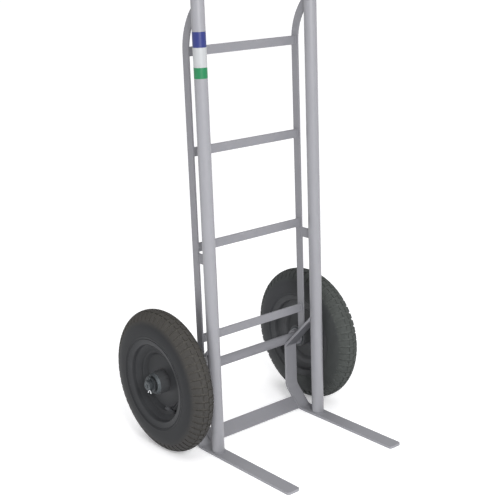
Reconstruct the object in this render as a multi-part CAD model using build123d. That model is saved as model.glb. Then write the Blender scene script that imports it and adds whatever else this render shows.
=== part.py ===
from build123d import *
from math import acos, cos, radians, sin, sqrt, tan
import os

# Driving dimensions in millimetres. X runs across, Y to the rear and Z up; the floor is Z = 0.
tyre_diameter = 368.0
tyre_width = 70.9
tube_diameter = 31.75
tube_wall = 2.1
tube_spacing = 344.0
axle_diameter = 25.4
axle_behind_tubes = 117.0
wheel_track = 488.0

# Flat bar stock: width and thickness
strap_width = 38.1
strap_thickness = 6.35
rail_width = 22.2
rail_thickness = 4.76

# Toe straps, seen from the side and measured from the main tubes' plane
toe_reach = 285.0
toe_corner_radius = 7.0
strap_upright_back = 106.4
knee_offset = 53.0
knee_bend_radius = 26.0
slope_bend_radius = 12.0
slope_end_back = 4.0
tube_seat_length = 33.0
tube_seat_depth = 0.3

# Side rails, rungs and spacers
rail_gap = 28.9
rail_bend_height = 995.0
rail_bend_radius = 139.0
rung_count = 4
rung_pitch = 235.1
lowest_rung_height = 292.4
rung_setback = 6.0
spacer_height = 25.4
spacer_rung = 2
spacer_drop = 1.2

# Crossbar at the foot, lying in the plane of the knees
crossbar_floor_gap = 0.5

# Handles above the rails
handle_bend_height = 1120.0
handle_bend_radius = 120.0
handle_turn = 70.0
handle_straight = 132.0
grip_length = 118.0
grip_wall = 3.2
grip_cap = 4.0
grip_end_round = 3.0
grip_rib_count = 9
grip_rib_height = 1.2
grip_collar_height = 5.0
grip_collar_length = 6.0

# Wheel: hub reaches are measured from the tyre's middle plane
hub_diameter = 58.0
hub_reach_in = 37.5
hub_reach_out = 28.0
hub_core_radius = 19.0
bearing_width = 14.0
bearing_radius = 25.4
bearing_recess = 1.2
bearing_race = 3.5
dust_cap_foot = 28.0
dust_cap_top = 23.4
dust_cap_bore = 17.0
dust_cap_height = 8.0
dust_cap_wall = 1.8
rim_sheet = 2.2
rim_flange_radius = 113.9
rim_flange_reach = 32.4
rim_seat_radius = 100.9
rim_seat_reach = 29.0
rim_ledge_radius = 99.6
rim_ledge_reach = 18.5
rim_ring_radius = 86.0
rim_ring_reach = 9.5
rim_step_radius = 77.0
rim_disc_radius = 69.0
rim_bend = 3.0
rim_ring_bend = 7.0
tyre_middle_radius = 128.0
tyre_crown_arc = 31.0
tyre_shoulder_reach = 28.0
tyre_side_bulge = 1.9
tyre_wall = 5.5
bead_corner = 2.2
bead_width = 8.4
tread_thickness = 10.0
lug_count = 58
lug_slot_width = 4.6
lug_slot_depth = 2.6
lug_slot_start = 4.0
lug_slot_end = 76.0
tread_groove_reach = 13.5
tread_groove_width = 2.4
inner_tube_wall = 1.6
inner_tube_radius = 89.5
valve_angle = 228.0
valve_foot_radius = 91.0
valve_lean = 40.0
valve_radius = 4.0
valve_bore_radius = 1.4
valve_length = 30.0
valve_cap_radius = 5.2
valve_cap_length = 11.0
valve_cap_depth = 8.8

# Axle hardware
collar_radius = 19.0
washer_radius = 22.0
washer_thickness = 3.2
sleeve_radius = 16.0
sleeve_length = 9.0
pin_radius = 2.0
pin_eye_radius = 4.6
pin_eye_wire = 1.2
pin_leg_wire = 1.4
pin_leg_length = 11.0
pin_leg_spread = 28.0
pin_stand_off = 1.0
pin_to_axle_end = 7.2
axle_chamfer = 1.6
axle_centre_radius = 5.0
axle_centre_depth = 7.0

# Clearances: between pieces that turn and pieces that stay, and under a welded or pressed seat
running_gap = 0.05
end_gap = 0.3
seat_gap = 0.1

# Derived sizes
tyre_radius = tyre_diameter / 2
tube_radius = tube_diameter / 2
axle_radius = axle_diameter / 2
hub_radius = hub_diameter / 2
half_spacing = tube_spacing / 2
wheel_x = wheel_track / 2
axle_height = tyre_radius
tubes_y = (toe_reach - axle_behind_tubes - tyre_radius) / 2
slope_sum = axle_behind_tubes + axle_height - sqrt(2) * (axle_radius + strap_thickness / 2 + seat_gap)
slope_top_sum = slope_sum + strap_thickness / sqrt(2)
rail_front = tube_radius + rail_gap
rail_back = rail_front + rail_width / 2
rail_x = half_spacing - rail_thickness / 2
rail_inner_x = half_spacing - rail_thickness
tube_bottom = strap_thickness - tube_seat_depth
hub_in_x = wheel_x - hub_reach_in
hub_out_x = wheel_x + hub_reach_out
strap_outer_x = half_spacing + strap_width / 2
washer_in_x = hub_in_x - end_gap - washer_thickness
washer_out_x = hub_out_x + end_gap
sleeve_x = washer_out_x + washer_thickness
keeper_x = sleeve_x + sleeve_length
pin_x = keeper_x + washer_thickness + seat_gap + pin_radius
axle_length = 2 * (pin_x + pin_to_axle_end)

nodes = {}


def bent_path(corners, bends):
    # Straight runs through the corner points, joined by tangent arcs of the given radii
    points = [Vector(*corner) for corner in corners]
    edges = []
    start = points[0]
    for before, corner, after, bend in zip(points, points[1:], points[2:], bends):
        arriving = (corner - before).normalized()
        leaving = (after - corner).normalized()
        reach = bend * tan(radians(arriving.get_angle(leaving)) / 2)
        enter = corner - arriving * reach
        leave = corner + leaving * reach
        edges.append(Line(start, enter))
        edges.append(TangentArc(enter, leave, tangent=arriving))
        start = leave
    edges.append(Line(start, points[-1]))
    return Wire(edges)


def swept(section, path):
    # The section stands square on the path's first point, with its own X across the trolley
    start = Plane(origin=path @ 0, x_dir=(1, 0, 0), z_dir=path % 0)
    return sweep(start * section, path=path)


def upright_cylinder(radius, length):
    # Stands on the XY plane
    return Cylinder(radius, length, align=(Align.CENTER, Align.CENTER, Align.MIN))


def tube_envelope(x):
    # The room that the straight part of a main tube takes, for cutting what is welded to it
    height = handle_bend_height - tube_bottom
    return Pos(x, 0, tube_bottom) * upright_cylinder(tube_radius + seat_gap, height)


def main_tube(x):
    turn = radians(handle_turn)
    bend_reach = handle_bend_radius * tan(turn / 2)
    corner_height = handle_bend_height + bend_reach
    end_reach = bend_reach + handle_straight
    corners = [
        (x, 0, tube_bottom),
        (x, 0, corner_height),
        (x, end_reach * sin(turn), corner_height + end_reach * cos(turn)),
    ]
    section = Circle(tube_radius) - Circle(tube_radius - tube_wall)
    return swept(section, bent_path(corners, [handle_bend_radius]))


def grip(x):
    # Sleeve with finger ribs, a collar at its mouth and a closed end, turned about the handle's axis
    turn = radians(handle_turn)
    bend_reach = handle_bend_radius * tan(turn / 2)
    end_reach = bend_reach + handle_straight
    end_y = end_reach * sin(turn)
    end_z = handle_bend_height + bend_reach + end_reach * cos(turn)
    bore = tube_radius + seat_gap
    outside = bore + grip_wall
    mouth = -(grip_length - grip_cap)
    sleeve = Pos(0, 0, mouth) * upright_cylinder(outside, grip_length)
    sleeve = fillet(sleeve.edges().sort_by(Axis.Z)[-1], grip_end_round)
    collar = Pos(0, 0, mouth) * upright_cylinder(outside + grip_collar_height, grip_collar_length)
    sleeve += fillet(collar.edges(), grip_collar_length / 3)
    rib_pitch = (grip_length - grip_collar_length) / (grip_rib_count + 1)
    for rib in range(1, grip_rib_count + 1):
        rib_z = mouth + grip_collar_length + rib * rib_pitch
        sleeve += Pos(0, 0, rib_z) * Cone(outside + grip_rib_height, outside, rib_pitch / 2)
    sleeve -= Pos(0, 0, mouth) * upright_cylinder(bore, -mouth)
    along = Plane(origin=(x, end_y, end_z), x_dir=(1, 0, 0), z_dir=(0, sin(turn), cos(turn)))
    return along * sleeve


def toe_strap(x):
    # One bar: toe, 45 degree knee, upright and 45 degree slope up to the tube, coped round it
    floor_z = strap_thickness / 2
    corners = [
        (x, -toe_reach, floor_z),
        (x, knee_offset + floor_z, floor_z),
        (x, strap_upright_back, strap_upright_back - knee_offset),
        (x, strap_upright_back, slope_sum - strap_upright_back),
        (x, slope_end_back, slope_sum - slope_end_back),
    ]
    section = Rectangle(strap_width, strap_thickness)
    bar = swept(section, bent_path(corners, [knee_bend_radius, knee_bend_radius, slope_bend_radius]))
    tip_edges = bar.edges().filter_by(Axis.Z).sort_by(Axis.Y)[:2]
    bar = fillet(tip_edges, toe_corner_radius) - tube_envelope(x)
    # The tube's foot stands in a shallow slot across the bar, and the load lies on the face in front of it
    slot = Box(2 * strap_width, tube_seat_length, 2 * tube_seat_depth)
    return bar - Pos(x, 0, strap_thickness) * slot


def side_rail(x):
    # Flat on edge, bent forwards to the tube over its top end; both ends cut to the piece that they meet
    foot = (x, rail_back, slope_sum - rail_back)
    bend_start = (x, rail_back, rail_bend_height)
    turn = acos(1 - rail_back / rail_bend_radius)
    bend_end = (x, 0, rail_bend_height + rail_bend_radius * sin(turn))
    path = Wire([Line(foot, bend_start), TangentArc(bend_start, bend_end, tangent=(0, 0, 1))])
    bar = swept(Rectangle(rail_thickness, rail_width), path)
    slope = Plane(origin=(x, 0, slope_top_sum), z_dir=(0, 1, 1))
    side = 1 if x > 0 else -1
    return split(bar, bisect_by=slope, keep=Keep.TOP) - tube_envelope(side * half_spacing)


def rung_height(number):
    # Middle of a rung above the floor; rung 1 is the lowest
    return lowest_rung_height + (number - 1) * rung_pitch


def spacer(x):
    # Short flat between tube and rail, just under one of the rungs
    length = rail_front
    top = rung_height(spacer_rung) - rail_width / 2 - spacer_drop
    bar = Pos(x, length / 2, top - spacer_height / 2) * Box(rail_thickness, length, spacer_height)
    side = 1 if x > 0 else -1
    return bar - tube_envelope(side * half_spacing)


def rung(number):
    middle = rail_front + rung_setback + rail_thickness / 2
    return Pos(0, middle, rung_height(number)) * Box(2 * rail_inner_x, rail_thickness, rail_width)


def foot_crossbar():
    lowest = crossbar_floor_gap * sqrt(2)
    along = (knee_offset / sqrt(2) + strap_thickness / 2 + lowest) + strap_width / 2
    middle_y = knee_offset / 2 + along / sqrt(2)
    middle_z = middle_y - knee_offset
    plane = Plane(origin=(0, middle_y, middle_z), x_dir=(1, 0, 0), z_dir=(0, -1, 1))
    return plane * Box(tube_spacing - strap_width, strap_width, strap_thickness)


def on_axle(x, piece):
    return Pos(x, axle_behind_tubes, axle_height) * piece


def ring(outer, inner, length):
    # A ring about the X axis, starting at X = 0
    ring_face = Circle(outer) - Circle(inner)
    return extrude(Plane.YZ * ring_face, length)


def axle():
    bar = Rot(0, 90, 0) * Cylinder(axle_radius, axle_length)
    bar = chamfer(bar.edges(), axle_chamfer)
    for side in (-1, 1):
        bar -= Pos(side * pin_x, 0, 0) * Cylinder(pin_radius + seat_gap, axle_diameter)
        centre_x = side * (axle_length - axle_centre_depth) / 2
        bar -= Pos(centre_x, 0, 0) * Rot(0, side * 90, 0) * Cone(0, axle_centre_radius, axle_centre_depth)
    return on_axle(0, bar)


def split_pin():
    # Eye above the axle, straight shank through it and two legs bent apart below
    below = -axle_radius - pin_stand_off
    above = axle_radius + pin_stand_off
    pin = Pos(0, 0, below) * upright_cylinder(pin_radius, above - below)
    pin += Pos(0, 0, above + pin_eye_radius) * Rot(0, 90, 0) * Torus(pin_eye_radius, pin_eye_wire)
    for turn in (-pin_leg_spread, pin_leg_spread):
        leg = Cylinder(pin_leg_wire, pin_leg_length, align=(Align.CENTER, Align.CENTER, Align.MAX))
        pin += Pos(0, 0, below + pin_radius) * Rot(turn, 0, 0) * leg
    return pin


def revolved(outline):
    # The outline lies in the XY plane with X along the axle and Y as the radius
    return revolve(make_face(outline), axis=Axis.X)


def hub():
    seat = bearing_radius
    outline = Polyline(
        (-hub_reach_in, seat),
        (-hub_reach_in, hub_radius),
        (hub_reach_out, hub_radius),
        (hub_reach_out, seat),
        (hub_reach_out - bearing_width, seat),
        (hub_reach_out - bearing_width, hub_core_radius),
        (-hub_reach_in + bearing_width, hub_core_radius),
        (-hub_reach_in + bearing_width, seat),
        close=True,
    )
    return revolved(outline)


def bearing():
    # Both faces are sunk between the inner and the outer ring
    bore = axle_radius + running_gap
    inner_ring = bore + bearing_race
    outer_ring = bearing_radius - bearing_race
    half = bearing_width / 2
    sunk = half - bearing_recess
    outline = Polyline(
        (-half, bore),
        (-half, inner_ring),
        (-sunk, inner_ring),
        (-sunk, outer_ring),
        (-half, outer_ring),
        (-half, bearing_radius),
        (half, bearing_radius),
        (half, outer_ring),
        (sunk, outer_ring),
        (sunk, inner_ring),
        (half, inner_ring),
        (half, bore),
        close=True,
    )
    return revolved(outline)


def dust_cap():
    # Pressed cup on the outer end of the hub, open round the sleeve
    top = hub_reach_out + dust_cap_height
    outline = Polyline(
        (hub_reach_out, dust_cap_foot - dust_cap_wall),
        (hub_reach_out, dust_cap_foot),
        (top, dust_cap_top),
        (top, dust_cap_bore),
        (top - dust_cap_wall, dust_cap_bore),
        (top - dust_cap_wall, dust_cap_top - dust_cap_wall),
        close=True,
    )
    return revolved(outline)


def rim_corners():
    # Middle line of the pressed sheet: flat disc on the other half, raised ring, cone, bead seat, flange
    return [
        (rim_sheet / 2, hub_radius + seat_gap),
        (rim_sheet / 2, rim_disc_radius),
        (rim_ring_reach, rim_step_radius),
        (rim_ring_reach, rim_ring_radius),
        (rim_ledge_reach, rim_ledge_radius),
        (rim_seat_reach, rim_seat_radius),
        (rim_flange_reach, rim_flange_radius),
    ]


def seat_surface(reach):
    # Radius of the bead seat's tyre side at a distance from the wheel's middle plane
    slope = (rim_seat_radius - rim_ledge_radius) / (rim_seat_reach - rim_ledge_reach)
    middle = rim_ledge_radius + slope * (reach - rim_ledge_reach)
    return middle + rim_sheet / 2 * sqrt(1 + slope**2)


def side_surface(inner, outer, radius):
    # Distance from the middle plane, at a radius, of the tyre side of the sheet between two of its corners
    slope = (outer[0] - inner[0]) / (outer[1] - inner[1])
    middle = inner[0] + slope * (radius - inner[1])
    return middle - rim_sheet / 2 * sqrt(1 + slope**2)


def flange_surface(radius):
    return side_surface(rim_corners()[-2], rim_corners()[-1], radius)


def cone_surface(radius):
    return side_surface(rim_corners()[3], rim_corners()[4], radius)


def valve_axis():
    # Leaves the inner tube through the cone of the rim, towards the axle and leaning outwards
    lean = radians(valve_lean)
    foot_reach = cone_surface(valve_foot_radius) - seat_gap - inner_tube_wall
    foot = (foot_reach, valve_foot_radius, 0)
    return Plane(origin=foot, x_dir=(0, 0, 1), z_dir=(sin(lean), -cos(lean), 0))


def rim_half():
    corners = [(reach, radius, 0) for reach, radius in rim_corners()]
    path = bent_path(corners, [rim_bend, rim_bend, rim_ring_bend, rim_bend, rim_bend])
    return revolve(trace(path, rim_sheet), axis=Axis.X)


def outer_rim_half():
    hole = valve_axis() * upright_cylinder(valve_radius + seat_gap, valve_length)
    return Rot(valve_angle, 0, 0) * (rim_half() - hole)


def inner_rim_half():
    return mirror(rim_half(), about=Plane.YZ)


def bead_corners():
    # The tyre's foot on the rim, from the flange's edge to the inner end of the bead
    toe_radius = seat_surface(rim_seat_reach) + bead_corner
    flange_side = flange_surface(toe_radius) - seat_gap
    corner = flange_side - bead_corner
    inner = flange_side - bead_width
    return [
        (flange_surface(rim_flange_radius) - seat_gap, rim_flange_radius),
        (flange_side, toe_radius),
        (corner, seat_surface(corner) + seat_gap),
        (inner, seat_surface(inner) + seat_gap),
    ]


def tyre_section():
    # Outside: crown arc and sidewall arc; inside: one hollow, open towards the rim
    half = tyre_width / 2
    crown_centre = tyre_radius - tyre_crown_arc
    middle_reach = tyre_shoulder_reach / 2
    crown_middle = (middle_reach, crown_centre + sqrt(tyre_crown_arc**2 - middle_reach**2))
    shoulder = (tyre_shoulder_reach, crown_centre + sqrt(tyre_crown_arc**2 - tyre_shoulder_reach**2))
    widest = (half, tyre_middle_radius)
    side_middle = ((half + shoulder[0]) / 2 + tyre_side_bulge, (tyre_middle_radius + shoulder[1]) / 2)
    bead = bead_corners()
    hollow_side = (half - tyre_wall, tyre_middle_radius)
    hollow_top = (0, tyre_radius - tread_thickness)
    hollow_arc = ThreePointArc(hollow_side, hollow_top, (-hollow_side[0], hollow_side[1]))
    outline = [
        ThreePointArc((0, tyre_radius), crown_middle, shoulder),
        ThreePointArc(shoulder, side_middle, widest),
        Polyline(widest, *bead, hollow_side),
        hollow_arc.trim(0, 0.5),
        Line(hollow_top, (0, tyre_radius)),
    ]
    half_face = make_face(Curve() + outline)
    return half_face + mirror(half_face, about=Plane.YZ)


def lug_slot():
    # A curved slot across the shoulder, as deep everywhere as the tread is high
    centre = Vector(0, tyre_radius - tyre_crown_arc)
    bottom = tyre_crown_arc - lug_slot_depth
    clear = tyre_crown_arc + lug_slot_depth
    first, last = radians(lug_slot_start), radians(lug_slot_end)
    middle = (first + last) / 2

    def polar(radius, angle):
        return centre + Vector(radius * sin(angle), radius * cos(angle))

    outline = [
        ThreePointArc(polar(bottom, first), polar(bottom, middle), polar(bottom, last)),
        Polyline(polar(bottom, last), polar(clear, last), polar(clear, middle), polar(clear, first)),
        Line(polar(clear, first), polar(bottom, first)),
    ]
    return extrude(make_face(Curve() + outline), lug_slot_width / 2, both=True)


def tyre():
    body = revolve(tyre_section(), axis=Axis.X)
    crown_centre = tyre_radius - tyre_crown_arc
    slot = lug_slot()
    far_slot = mirror(slot, about=Plane.YZ)
    cuts = []
    for reach in (-tread_groove_reach, 0, tread_groove_reach):
        crown = crown_centre + sqrt(tyre_crown_arc**2 - reach**2)
        groove = ring(tyre_radius + lug_slot_depth, crown - lug_slot_depth, tread_groove_width)
        cuts.append(Pos(reach - tread_groove_width / 2, 0, 0) * groove)
    for number in range(lug_count):
        cuts.append(Rot(360.0 * number / lug_count, 0, 0) * slot)
        cuts.append(Rot(360.0 * (number + 0.5) / lug_count, 0, 0) * far_slot)
    return body - cuts


def inner_tube():
    # Thin hollow ring filling the tyre and the rim's well, with its valve stem through the rim
    side = tyre_width / 2 - tyre_wall - seat_gap
    foot_reach, foot_radius = bead_corners()[-1]
    ledge_top = seat_surface(rim_ledge_reach) + seat_gap
    top = (0, tyre_radius - tread_thickness - seat_gap)
    half = [
        (side, tyre_middle_radius),
        (foot_reach - 2 * seat_gap, foot_radius),
        (cone_surface(ledge_top) - seat_gap, ledge_top),
        (cone_surface(inner_tube_radius) - seat_gap, inner_tube_radius),
    ]
    far_half = [(-reach, radius) for reach, radius in half]
    outline = [ThreePointArc(half[0], top, far_half[0]), Polyline(*far_half, *half[::-1])]
    skin = make_face(Curve() + outline)
    air = offset(skin, -inner_tube_wall)
    stem = valve_axis() * upright_cylinder(valve_radius, valve_length)
    bore = Pos(0, 0, -2 * inner_tube_wall) * upright_cylinder(valve_bore_radius, 2 * valve_length)
    tube = revolve(skin, axis=Axis.X) + stem - revolve(air, axis=Axis.X) - valve_axis() * bore
    return Rot(valve_angle, 0, 0) * tube


def valve_cap():
    cover = upright_cylinder(valve_cap_radius, valve_cap_length)
    cover = chamfer(cover.edges().sort_by(Axis.Z)[-1], valve_cap_radius / 4)
    cover -= upright_cylinder(valve_radius + seat_gap, valve_cap_depth)
    start = valve_length - valve_cap_depth
    return Rot(valve_angle, 0, 0) * (valve_axis() * Pos(0, 0, start) * cover)


def build_frame():
    for name, side in (("left", -1), ("right", 1)):
        nodes[name + "_main_tube"] = main_tube(side * half_spacing)
        nodes[name + "_grip"] = grip(side * half_spacing)
        nodes[name + "_toe_strap"] = toe_strap(side * half_spacing)
        nodes[name + "_side_rail"] = side_rail(side * rail_x)
        nodes[name + "_spacer"] = spacer(side * rail_x)
    for number in range(1, rung_count + 1):
        nodes["rung_" + str(number)] = rung(number)
    nodes["foot_crossbar"] = foot_crossbar()
    nodes["axle"] = axle()


def build_wheels():
    # The right-hand pieces are made and then mirrored for the left
    bore = axle_radius + seat_gap
    collar_length = washer_in_x - strap_outer_x
    right = {
        "axle_collar": on_axle(strap_outer_x, ring(collar_radius, bore, collar_length)),
        "inner_washer": on_axle(washer_in_x, ring(washer_radius, bore, washer_thickness)),
        "outer_washer": on_axle(washer_out_x, ring(sleeve_radius, bore, washer_thickness)),
        "spacer_sleeve": on_axle(sleeve_x, ring(sleeve_radius, bore, sleeve_length)),
        "keeper_washer": on_axle(keeper_x, ring(washer_radius, bore, washer_thickness)),
        "split_pin": on_axle(pin_x, split_pin()),
        "tyre": on_axle(wheel_x, tyre()),
        "inner_tube": on_axle(wheel_x, inner_tube()),
        "valve_cap": on_axle(wheel_x, valve_cap()),
        "outer_rim_half": on_axle(wheel_x, outer_rim_half()),
        "inner_rim_half": on_axle(wheel_x, inner_rim_half()),
        "hub": on_axle(wheel_x, hub()),
        "dust_cap": on_axle(wheel_x, dust_cap()),
        "outer_bearing": on_axle(hub_out_x - bearing_width / 2, bearing()),
        "inner_bearing": on_axle(hub_in_x + bearing_width / 2, bearing()),
    }
    for name, piece in right.items():
        nodes["right_" + name] = piece
        nodes["left_" + name] = mirror(piece, about=Plane.YZ)


build_frame()
build_wheels()
os.makedirs("parts", exist_ok=True)
for node, solid in nodes.items():
    export_step(Pos(0, tubes_y, 0) * solid, "parts/" + node + ".step")
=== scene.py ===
from functools import partial
import bmesh
import bpy
import numpy as np
from mathutils import Matrix, Vector


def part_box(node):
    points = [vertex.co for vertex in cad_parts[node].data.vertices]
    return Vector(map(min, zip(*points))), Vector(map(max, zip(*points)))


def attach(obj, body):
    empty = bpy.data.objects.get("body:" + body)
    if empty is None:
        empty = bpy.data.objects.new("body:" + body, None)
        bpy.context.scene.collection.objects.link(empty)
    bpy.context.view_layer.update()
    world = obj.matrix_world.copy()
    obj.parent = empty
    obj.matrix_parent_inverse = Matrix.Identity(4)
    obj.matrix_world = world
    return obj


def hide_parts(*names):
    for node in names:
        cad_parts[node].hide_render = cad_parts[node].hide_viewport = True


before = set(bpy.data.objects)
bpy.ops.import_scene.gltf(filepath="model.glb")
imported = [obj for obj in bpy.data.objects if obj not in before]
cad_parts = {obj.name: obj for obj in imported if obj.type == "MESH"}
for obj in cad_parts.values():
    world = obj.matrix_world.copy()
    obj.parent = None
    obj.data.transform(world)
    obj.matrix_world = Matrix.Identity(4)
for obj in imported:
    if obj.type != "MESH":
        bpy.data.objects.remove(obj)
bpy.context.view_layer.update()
mm = 0.001  # lengths are in metres, so a size reads as 12 * mm
rootTwo = np.sqrt(2)  # for the flats that lie at 45 degrees
sides = {"left": -1, "right": 1}
print("frame loaded with", len(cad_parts), "nodes")


# shared tools for meshes

edgeMargin = 0.4 * mm  # a row this close to an end or a bend keeps the shading level beside it
poleRadius = 0.2 * mm  # an end that comes to a point stops at this radius and is capped


def quadFaces(index):
    # four neighbours on the grid make a face
    return np.stack([index[:-1, :-1], index[1:, :-1], index[1:, 1:], index[:-1, 1:]], -1).reshape(-1, 4)


def ladderCap(ring):
    # an end is closed by rungs between the points that face each other across the ring
    step = np.arange(len(ring) // 2 - 1)
    return np.stack([ring[step], ring[step + 1], ring[-2 - step], ring[-1 - step]], -1)


def gridOf(alongX, rows):
    # points put together from their X and their (Y, Z), on the grid of the latter
    grid = np.empty((*rows.shape[:2], 3))
    grid[..., 0] = alongX
    grid[..., 1:] = rows
    return grid


def linked(name, data):
    # an object for a mesh, lamp or camera, put into the scene
    made = bpy.data.objects.new(name, data)
    bpy.context.scene.collection.objects.link(made)
    return made


def putPiece(name, grids, material, body, replaced=(), sharp=35, shares=None):
    # each grid is points[u, v], closed along v; with a True beside it, it closes along u as well,
    # or else its two ends are capped; an edge shows where it turns by more than sharp degrees
    vertices, faces, start = [], [], 0
    for points, closed in grids:
        index = np.arange(points.shape[0] * points.shape[1]).reshape(points.shape[:2]) + start
        ringed = np.concatenate([index, index[:, :1]], 1)
        if closed:
            faces.append(quadFaces(np.concatenate([ringed, ringed[:1]])))
        else:
            faces += [quadFaces(ringed), ladderCap(index[0]), ladderCap(index[-1])]
        vertices.append(points.reshape(-1, 3))
        start += index.size
    mesh = bpy.data.meshes.new(name)
    mesh.from_pydata(np.concatenate(vertices).tolist(), [], np.concatenate(faces).tolist())
    # the share carries dust and grease, and also painted light and shade, to the materials
    if shares is not None:
        dustShare = mesh.attributes.new("dustShare", "FLOAT", "POINT")
        dustShare.data.foreach_set("value", shares.ravel().astype(np.float32))
    shell = bmesh.new()
    shell.from_mesh(mesh)
    bmesh.ops.recalc_face_normals(shell, faces=shell.faces)
    shell.to_mesh(mesh)
    shell.free()
    mesh.shade_smooth()
    mesh.set_sharp_from_angle(angle=np.radians(sharp))
    mesh.materials.append(material)
    piece = linked(name, mesh)
    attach(piece, body)
    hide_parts(*replaced)


def dressNode(node, grid, closed, material, body, shares=None):
    # a piece that stands for one node and has its name in camel case: left_toe_strap gives leftToeStrap
    first, *others = node.split("_")
    name = first + "".join(word.capitalize() for word in others)
    putPiece(name, [(grid, closed)], material, body, [node], shares=shares)


def unit(vector):
    # a vector, or each row of vectors, divided by its length
    return vector / np.linalg.norm(vector, axis=-1, keepdims=True)


def bentRoute(corners, bends, steps=10):
    # straight runs through the corners, each corner rounded by an arc that is tangent to both of its runs;
    # gives the points and the normals, which are the direction of travel turned a quarter to the left
    corners = np.asarray(corners, float)
    points, normals, start = [], [], corners[0]
    quarter = np.array([[0, -1], [1, 0]])
    for number, bend in enumerate([*bends, 0.0], 1):
        enter = corners[number]
        along = unit(enter - corners[number - 1])
        left = quarter @ along
        if bend:
            onward = unit(corners[number + 1] - enter)
            turn = np.arctan2(left @ onward, along @ onward)
            enter = enter - along * bend * np.tan(abs(turn) / 2)
        points += [start, start + along * edgeMargin, enter - along * edgeMargin, enter]
        normals += [left] * 4
        if bend:
            angle = np.linspace(0, turn, steps + 1)[1:, None]
            spoke = -left * np.sign(turn) * bend
            turned = np.cos(angle) * spoke + np.sin(angle) * (quarter @ spoke)
            points += list(enter - spoke + turned)
            normals += list(np.cos(angle) * left + np.sin(angle) * (quarter @ left))
            start = points.pop()
            normals.pop()
    return np.array(points), np.array(normals)


barEdge = {"radius": 0.8 * mm, "steps": 3}


def roundedBox(width, height, across=2):
    # loop of a rectangle with round corners: the upper half, then its mirror image in reverse order
    radius = barEdge["radius"]
    corner = np.radians(np.linspace(0, 90, barEdge["steps"] + 1))
    flatWide = width / 2 - radius
    flatHigh = height / 2 - radius
    right = np.stack([flatWide + radius * np.cos(corner), flatHigh + radius * np.sin(corner)], 1)
    right = np.concatenate([[[width / 2, flatHigh - edgeMargin]], right])
    top = np.linspace(flatWide - edgeMargin, edgeMargin - flatWide, across)
    top = np.stack([top, np.full(across, height / 2)], 1)
    upper = np.concatenate([right, top, (right * [-1, 1])[::-1]])
    return np.concatenate([upper, (upper * [1, -1])[::-1]])


def circle(radius, count):
    # points at even angles, the first one half a step round
    angle = (np.arange(count) + 0.5) * 2 * np.pi / count
    return radius * np.stack([np.cos(angle), np.sin(angle)], 1)


def sideBar(middleX, route, normals, loop):
    # a section square on a route in the YZ plane: its first axis lies along X, its second along the normal
    return gridOf(middleX + loop[:, 0], route[:, None] + normals[:, None] * loop[:, 1, None])


def crossBar(lowX, highX, loop):
    # a section in the YZ plane carried straight along X
    stations = np.array([lowX, lowX + edgeMargin, highX - edgeMargin, highX])
    return gridOf(stations[:, None], np.tile(loop, (len(stations), 1, 1)))


skewLine = np.array([0.31, 0.83, 0.47])  # no round section is carried along this direction


def tubeAlong(path, radius, count, ring=False):
    # a round section carried along a 3-D path, square on the line between a point's two neighbours;
    # radius may vary from point to point
    ahead = np.roll(path, -1, 0) if ring else np.concatenate([path[1:], path[-1:]])
    behind = np.roll(path, 1, 0) if ring else np.concatenate([path[:1], path[:-1]])
    tangent = unit(ahead - behind)
    aside = unit(np.cross(tangent, skewLine))
    over = np.cross(tangent, aside)
    loop = circle(1, count)
    spread = np.broadcast_to(radius, len(path))[:, None, None]
    return path[:, None] + spread * (aside[:, None] * loop[:, :1] + over[:, None] * loop[:, 1:])


# shared tools for materials

def linear(code):
    # sRGB hex to linear RGBA by the sRGB curve
    share = np.array([int(code[start:start + 2], 16) for start in (1, 3, 5)]) / 255
    low = share / 12.92
    return (*np.where(share > 0.04045, ((share + 0.055) / 1.055) ** 2.4, low), 1.0)


def addNode(tree, kind, settings=None, links=None, out=None):
    # one node: settings go to sockets by name or number, or else to properties, and links come in by socket;
    # gives the output of that name, or else the first one that the node shows
    made = tree.nodes.new("ShaderNode" + kind)
    for key, value in (settings or {}).items():
        if isinstance(key, int) or key in made.inputs:
            made.inputs[key].default_value = value
        else:
            setattr(made, key, value)
    for key, source in (links or {}).items():
        tree.links.new(source, made.inputs[key])
    return made.outputs[out] if out else next((socket for socket in made.outputs if socket.enabled), None)


def newMaterial(name):
    # an empty material, and addNode set to work on it
    material = bpy.data.materials.new(name)
    material.use_nodes = True
    material.node_tree.nodes.clear()
    return material, partial(addNode, material.node_tree)


def perMetre(size):
    # noise scale that gives features of about this size
    return 1 / size


# the darkest colour here is a painted shade, laid where the toe straps look down
flatEnamelLook = {
    "light": "#828287", "dark": "#7c7c81", "grime": "#67676c", "cloud": 70 * mm, "peel": 2.2 * mm,
    "peelDepth": 0.03 * mm, "peelStrength": 0.35, "smooth": 0.4, "rough": 0.5, "ior": 1.5,
}
# the toe strap and tube copies are set lighter than the flats: painted light
strapEnamelLook = {**flatEnamelLook, "light": "#8c8c91", "dark": "#86868b"}
tubeEnamelLook = {
    **flatEnamelLook, "light": "#8f8f94", "dark": "#88888d", "cloud": 90 * mm, "peelDepth": 0.02 * mm,
    "smooth": 0.34, "rough": 0.42,
}


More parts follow.
